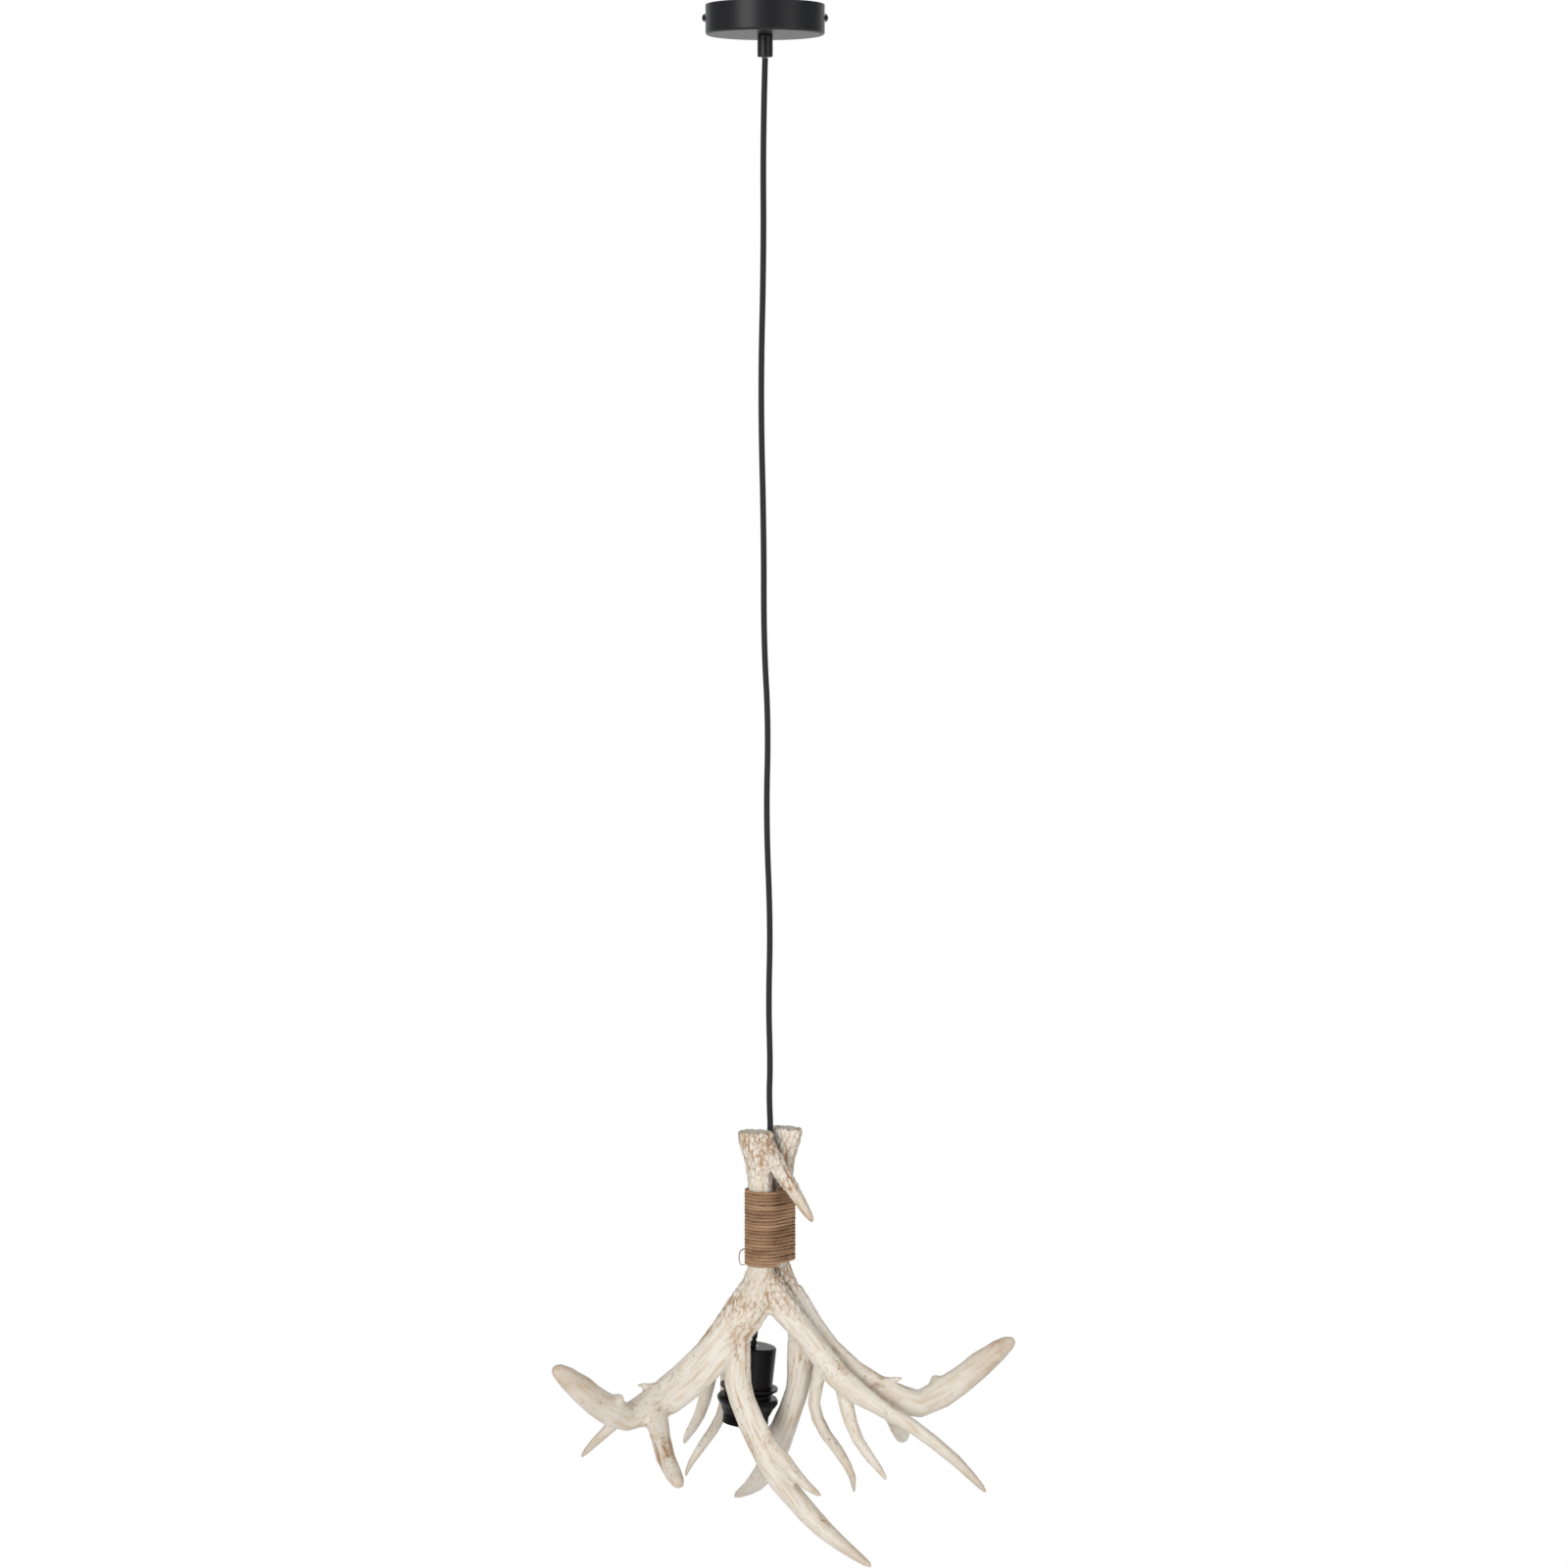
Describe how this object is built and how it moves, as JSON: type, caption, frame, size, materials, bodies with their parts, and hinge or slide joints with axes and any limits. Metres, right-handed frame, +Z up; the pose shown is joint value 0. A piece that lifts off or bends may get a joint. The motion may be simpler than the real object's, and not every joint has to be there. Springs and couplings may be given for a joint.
{
  "type": "antler pendant light",
  "caption": "Hanging light: ceiling canopy on a bracket, textile cord, and antler castings bound with twine round a lamp holder.",
  "frame": {"origin": "middle of the canopy's ceiling face, where it meets the ceiling", "axes": "+Z up to the ceiling, +X to the right and +Y away from the viewer of the picture"},
  "size_m": [0.4717, 0.3161, 1.5643],
  "materials": {
    "canopy_paint": "satin",
    "zinc_steel": "satin",
    "black_plastic": "satin",
    "black_gloss_plastic": "satin",
    "cord_textile": "matte",
    "antler_resin": "satin",
    "jute": "matte",
    "brass": "satin",
    "block_plastic": "satin",
    "porcelain": "gloss",
    "core_brown": "satin",
    "core_blue": "satin",
    "core_green": "satin"
  },
  "bodies": {
    "bracket": {"ceiling_bracket": "zinc_steel", "canopy_side_screws": "canopy_paint", "earth_stud": "brass", "earth_nut": "brass"},
    "canopy": {"canopy": "canopy_paint", "cord_grip": "black_plastic", "grip_screw": "zinc_steel", "grip_nut": "zinc_steel", "terminal_block": "block_plastic", "terminal_screws": "brass", "cord_head": "cord_textile", "core_live": "core_brown", "core_earth": "core_green", "core_neutral": "core_blue"},
    "cord": {"cord": "cord_textile"},
    "antlers": {"antler_front": "antler_resin", "antler_rear": "antler_resin", "cord_held": "cord_textile", "cord_ferrule": "brass", "neck_bolts": "zinc_steel", "neck_nuts": "zinc_steel", "twine_winding": "jute"},
    "lamp_holder": {"holder_cup": "black_gloss_plastic", "holder_nipple": "zinc_steel", "nipple_screw": "zinc_steel", "holder_nut": "zinc_steel", "cord_end": "cord_textile", "holder_cores": "core_brown", "holder_skirt": "black_gloss_plastic", "socket_insulator": "porcelain", "socket_shell": "brass", "centre_contact": "brass", "side_contact": "brass", "holder_terminals": "brass"},
    "shade_ring": {"shade_ring": "black_gloss_plastic"}
  },
  "joints": [
    {"name": "canopy_drop", "type": "slide", "parent": "bracket", "child": "canopy", "axis": [0, 0, -1], "range_m": [0, 0.05]},
    {"name": "cord_swing", "type": "hinge", "parent": "canopy", "child": "cord", "pos_m": [0, 0, -0.0553], "axis": [0, 1, 0], "range_deg": [-12, 12]},
    {"name": "antler_turn", "type": "hinge", "parent": "cord", "child": "antlers", "pos_m": [0.0049, -0.0024, -1.132], "axis": [0, 0, 1], "range_deg": [-170, 170]},
    {"name": "holder_swing", "type": "hinge", "parent": "antlers", "child": "lamp_holder", "pos_m": [-0.01207, 0.022, -1.36552], "axis": [1, 0, 0], "range_deg": [-1.2, 1.2]},
    {"name": "shade_ring_turn", "type": "hinge", "parent": "lamp_holder", "child": "shade_ring", "pos_m": [-0.01822, 0.022, -1.42219], "axis": [0.108, 0, 0.9942], "range_deg": [0, 90]}
  ]
}
